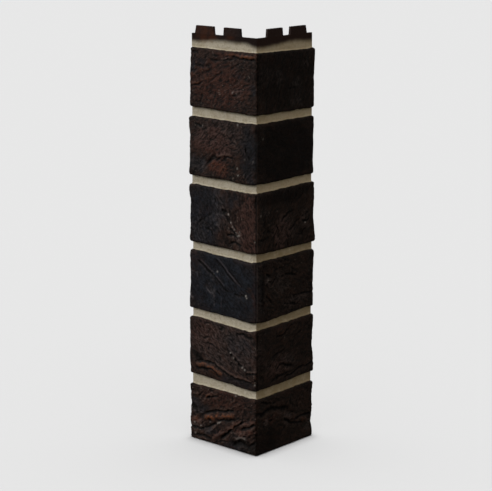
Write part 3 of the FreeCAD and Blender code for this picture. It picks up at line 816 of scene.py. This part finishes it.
mesh = bpy.data.meshes.new("corner_strip")
mesh.from_pydata(points.tolist(), [], faces)
mesh.polygons.foreach_set("use_smooth", np.ones(len(faces), bool))
mesh.update()
outward = [polygon.normal.y < -0.5 or polygon.normal.x > 0.5 for polygon in mesh.polygons]
above_lip = [polygon.center.z * 1000 > lip_top + 0.01 for polygon in mesh.polygons]
painted = np.arange(len(faces)) < len(quads)
painted |= np.array(outward) & np.array(above_lip)
mesh.polygons.foreach_set("material_index", np.where(painted, 0, 1))
rusty_stop = 62
rusty_fade = 40
on_tabs = {
    "spray": np.ones(len(used)),
    # the tabs on the right flange take the painted shade tones as well
    "shade": (corners[used, 0] > high[0] - shell - joint_depth - 1).astype(float),
    "ember": 0.8 * ease(low[0] + rusty_stop - corners[used, 0], 0, rusty_fade),
}
for name, values in masks.items():
    attribute = mesh.attributes.new(name, "FLOAT", "POINT")
    rest = on_tabs.get(name, np.zeros(len(used)))
    attribute.data.foreach_set("value", np.concatenate([values.reshape(-1), rest]))
flow_attribute = mesh.attributes.new("flow", "FLOAT_VECTOR", "POINT")
padded = np.zeros((len(points), 3))
padded[:index.size] = flow.reshape(-1, 3)
flow_attribute.data.foreach_set("vector", padded.reshape(-1))
mesh.set_sharp_from_angle(angle=math.radians(60))

strip = bpy.data.objects.new("corner_strip", mesh)
bpy.context.scene.collection.objects.link(strip)
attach(strip, "root")
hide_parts("corner_panel")
print("strip:", len(points), "vertices,", len(faces), "faces")

# %% [markdown]
# ## Helpers for materials
# Colours are written as the hex values a paint chart gives, in sRGB. Shaders calculate in
# linear light, so one function converts them. One more function adds a node with its
# settings and links, which keeps each material readable as a recipe.

# %% Make the helpers
def linear(hex_code):
    channels = [int(hex_code[i:i + 2], 16) / 255 for i in (0, 2, 4)]
    return [c / 12.92 if c <= 0.04045 else ((c + 0.055) / 1.055) ** 2.4 for c in channels] + [1]


def add(kind, inputs=None, output=0, **settings):
    made = tree.nodes.new("ShaderNode" + kind)
    for name, value in settings.items():
        setattr(made, name, value)
    for socket, value in (inputs or {}).items():
        if isinstance(value, bpy.types.NodeSocket):
            tree.links.new(value, made.inputs[socket])
        else:
            made.inputs[socket].default_value = value
    return made.outputs[output] if output is not None else made


def new_material(name):
    made = bpy.data.materials.new(name)
    made.use_nodes = True
    made.node_tree.nodes.clear()
    return made, made.node_tree


# A node's settings that come up again and again.
MIX = {"output": 2, "data_type": "RGBA"}
SMOOTH = {"interpolation_type": "SMOOTHSTEP"}
TIMES = {"operation": "MULTIPLY"}
PLUS = {"operation": "ADD"}

# %% [markdown]
# ## Painted polypropylene
# The front has two matt acrylic paints on the moulding. The cream joint paint is sprayed and
# has a fine sandy grain. The brick paint is rolled on afterwards, in several dark browns and
# blue-blacks that break up over the clay texture. Polypropylene has an IOR of 1.49 and the
# dried paint a roughness near 0.6. The masks from the mesh say where each tone lies, and noise
# at the size of the clay's crumbs, two to three millimetres, breaks their edges up.

# %% Lay out the paint's patterns
paint, tree = new_material("painted_polypropylene")
place = add("TexCoord", output="Object")
flowing = add("Attribute", output="Vector", attribute_name="flow")
pattern = {name: add("Attribute", output="Fac", attribute_name=name)
           for name in ("sunk", "crest", "spray", "shade", "lower_right", *tints)}
PATTERNS = [
    # name, coordinates, size of its grains in the coordinates' unit, detail, roughness
    ("crumb", flowing, 2.1, 4.0, 0.72),
    ("flake", flowing, 5.5, 3.0, 0.60),
    ("grit", place, 0.0016, 2.0, 0.60),
    ("speck", place, 0.0030, 4.0, 0.70),
    ("stain", place, 0.0085, 3.0, 0.60),
    ("cloud", place, 0.0170, 4.0, 0.60),
]
for name, vector, grain, detail, roughness in PATTERNS:
    pattern[name] = add("TexNoise", {"Vector": vector, "Scale": 1 / grain, "Detail": detail,
                                     "Roughness": roughness}, output="Fac")

# %% [markdown]
# Each tone of the brick paint is one row: it lies inside its mask, only where its noise is
# high enough, and never fully. Going down the list builds the finish up from black in the
# pits to rust and sand on top, as a roller would in several passes. A few rows paint light
# and shade as well: the crest rows add painted highlights on the crests and painted shade in
# the hollows, and the shade row darkens the bricks of the right flange, which lies in the shade.

# %% Mix the brick paint
BRICK_TONES = [
    # mask, noise, where it starts, where it is full, how strong, tone
    (None, "crumb", 0.40, 0.60, 1.0, "271a15"),
    (None, "cloud", 0.42, 0.62, 0.35, "120c0a"),
    (None, "flake", 0.50, 0.64, 0.5, "33221b"),
    ("warm", "crumb", 0.36, 0.60, 0.9, "40231a"),
    (None, "speck", 0.62, 0.70, 0.5, "6a5f57"),
    ("slate", "cloud", 0.20, 0.45, 0.9, "0c0d10"),
    ("slate", "crumb", 0.44, 0.64, 0.8, "1b1e23"),
    ("slate", "stain", 0.48, 0.66, 0.3, "22272f"),
    # lighter crests: roller paint, and also a painted highlight
    (None, "crest", 0.03, 0.40, 0.40, "4a3a33"),
    ("ember", "speck", 0.40, 0.62, 0.75, "69381a"),
    # painted highlight: blue-grey on the slate's crests, standing in for a sheen
    ("slate", "crest", 0.03, 0.35, 0.35, "383c43"),
    # painted shade: the bricks of the right flange, which lies in the shade, are darker and cooler
    ("shade", "cloud", 0.00, 0.10, 0.42, "1a1815"),
    ("pale", "crumb", 0.42, 0.62, 0.30, "665f5e"),
    ("fleck", "cloud", 0.00, 0.10, 0.85, "a39c94"),
    # dark paint in the dark patches, and painted shade in the creases
    ("dark", "cloud", 0.00, 0.10, 0.8, "060504"),
    # near-black hollows: less roller paint there, and also painted shade
    (None, "crest", -0.02, -0.34, 0.9, "060403"),
]


def lay(under, mask, noise_name, start, full, strength, tone):
    share = add("MapRange", {0: pattern[noise_name], 1: start, 2: full, 4: strength}, **SMOOTH)
    if mask:
        share = add("Math", {0: share, 1: pattern[mask]}, **TIMES)
    return add("Mix", {0: share, 6: under, 7: linear(tone)}, **MIX)


brown = linear("0a0706")
for row in BRICK_TONES:
    brown = lay(brown, *row)

# %% [markdown]
# The joint paint covers everything that is sunk, and the roller's brown ends on the flank of
# the brick. A roller doesn't stop on a line, so noise shifts the border by up to half a
# millimetre. Overspray from the brick finish darkens the upper part of the lip.

# %% Mix the joint paint and lay both
JOINT_TONES = [
    (None, "grit", 0.35, 0.65, 0.8, "a0988a"),
    (None, "speck", 0.50, 0.66, 0.6, "7a705c"),
    (None, "stain", 0.46, 0.66, 0.5, "827762"),
    # painted shade: the joints of the right flange, which lies in the shade, are warmer and yellower
    ("shade", "cloud", 0.00, 0.10, 0.35, "93825c"),
    # darker and yellower joints low on the right flange
    ("lower_right", "stain", 0.20, 0.50, 0.6, "6b5e45"),
]
cream = linear("938b78")
for row in JOINT_TONES:
    cream = lay(cream, *row)

wander = add("MapRange", {0: pattern["speck"], 1: 0.3, 2: 0.7, 3: -0.5, 4: 0.5})
border = add("Math", {0: pattern["sunk"], 1: wander}, **PLUS)
rolled = add("MapRange", {0: border, 1: 2.5, 2: 1.9}, **SMOOTH)
colour = add("Mix", {0: rolled, 6: cream, 7: brown}, **MIX)

mist = lay(linear("170f0d"), "ember", "cloud", 0.30, 0.60, 1.0, "361c0f")
# painted shade: the overspray on the right flange's lip and tabs gets its own tone
mist = lay(mist, "shade", "cloud", 0.00, 0.10, 0.8, "271c18")
colour = add("Mix", {0: pattern["spray"], 6: colour, 7: mist}, **MIX)

# %% [markdown]
# The grain of the paint is too fine for the mesh, so it is a bump: the clay's crumbs on the
# bricks, up to a millimetre high, and lower sandy lumps in the joints. Thick joint paint is
# duller than the thin film on the bricks.

# %% Finish the paint
coarse = add("Math", {0: pattern["crumb"], 1: rolled}, **TIMES)
sandy = add("Math", {0: pattern["speck"], 1: 0.55}, **TIMES)
relief = add("Math", {0: coarse, 1: sandy}, **PLUS)
normal = add("Bump", {"Strength": 0.9, "Distance": 0.0011, "Height": relief})
dullness = add("MapRange", {0: rolled, 3: 0.85, 4: 0.6})
surface = add("BsdfPrincipled", {
    "Base Color": colour,
    "Roughness": dullness,
    "IOR": 1.49,
    "Specular IOR Level": 0.04,
    "Normal": normal,
})
add("OutputMaterial", {"Surface": surface}, output=None)

# %% [markdown]
# ## Bare polypropylene
# The back is the moulding itself, coloured dark brown in the melt. It left the steel mould
# with a fine even texture, so it is a little glossier than the paint. The filler in the melt
# rarely spreads quite evenly, hence the faint clouds a few centimetres wide.

# %% Colour the back
bare, tree = new_material("moulded_polypropylene")
place = add("TexCoord", output="Object")
cloud = add("TexNoise", {"Vector": place, "Scale": 45.0, "Detail": 5.0}, output="Fac")
share = add("MapRange", {0: cloud, 1: 0.35, 2: 0.65}, **SMOOTH)
tone = add("Mix", {0: share, 6: linear("20150f"), 7: linear("2b1c14")}, **MIX)
dullness = add("MapRange", {0: cloud, 1: 0.35, 2: 0.65, 3: 0.42, 4: 0.52}, **SMOOTH)
grit = add("TexNoise", {"Vector": place, "Scale": 1100.0, "Detail": 3.0}, output="Fac")
normal = add("Bump", {"Strength": 0.25, "Distance": 0.0002, "Height": grit})
surface = add("BsdfPrincipled", {
    "Base Color": tone, "Roughness": dullness, "IOR": 1.49, "Specular IOR Level": 0.35, "Normal": normal,
})
add("OutputMaterial", {"Surface": surface}, output=None)
mesh.materials.append(paint)
mesh.materials.append(bare)

# %% [markdown]
# ## Floor and light
# The strip stands on a pale floor that fills the picture. A broad key light comes from the
# left and rakes over the left flange, so its relief stands out, and the right flange lies in
# the shade under a soft sky that is brightest overhead. A lamp straight above lights only the
# floor. That keeps the floor as even as in the photograph, with only a faint shade at the foot.

# %% Set up the studio
floor_mesh = bpy.data.meshes.new("floor")
floor_half = 60.0
floor_corners = [(-floor_half, -floor_half, 0), (floor_half, -floor_half, 0),
                 (floor_half, floor_half, 0), (-floor_half, floor_half, 0)]
floor_mesh.from_pydata(floor_corners, [], [(0, 1, 2, 3)])
floor = bpy.data.objects.new("floor", floor_mesh)
bpy.context.scene.collection.objects.link(floor)
floor.visible_diffuse = False
floor.visible_glossy = False
matt, tree = new_material("matt_studio_floor")
surface = add("BsdfPrincipled", {"Base Color": linear("b4b4b4"), "Roughness": 0.9,
                                 "Specular IOR Level": 0.0})
add("OutputMaterial", {"Surface": surface}, output=None)
floor_mesh.materials.append(matt)

world = bpy.data.worlds.new("studio")
world.use_nodes = True
tree = world.node_tree
tree.nodes.clear()
upward = add("SeparateXYZ", {0: add("TexCoord", output="Generated")}, output="Z")
SKY = [
    # where it starts, where it is full, tone
    (-0.08, -0.03, "e6e6e6"),
    (0.10, 0.20, "a8a8a8"),
    (0.40, 0.90, "f4f4f4"),
]
sky = linear("101010")
for start, full, tone in SKY:
    share = add("MapRange", {0: upward, 1: start, 2: full}, **SMOOTH)
    sky = add("Mix", {0: share, 6: sky, 7: linear(tone)}, **MIX)
glow = add("Background", {"Color": sky})
add("OutputWorld", {"Surface": glow}, output=None)
bpy.context.scene.world = world

strip_only = bpy.data.collections.new("lit_by_key")
strip_only.objects.link(strip)
floor_only = bpy.data.collections.new("lit_from_above")
floor_only.objects.link(floor)


def add_sun(name, source, energy, spread_degrees, colour, lit):
    data = bpy.data.lights.new(name, "SUN")
    data.energy = energy
    data.angle = math.radians(spread_degrees)
    data.color = colour
    lamp = bpy.data.objects.new(name, data)
    lamp.rotation_mode = "QUATERNION"
    lamp.rotation_quaternion = Vector(source).to_track_quat("Z", "Y")
    lamp.light_linking.receiver_collection = lit
    bpy.context.scene.collection.objects.link(lamp)
    return lamp


add_sun("key", (-0.78, -0.54, 0.42), 3.6, 24, (1, 1, 1), strip_only)
fill = add_sun("fill", (0.85, -0.2, 0.5), 0.42, 50, (1, 0.80, 0.58), strip_only)
fill.visible_glossy = False
add_sun("floor_lamp", (0, 0, 1), 3.35, 4, (1, 1, 1), floor_only)
bpy.context.scene.view_settings.view_transform = "Standard"
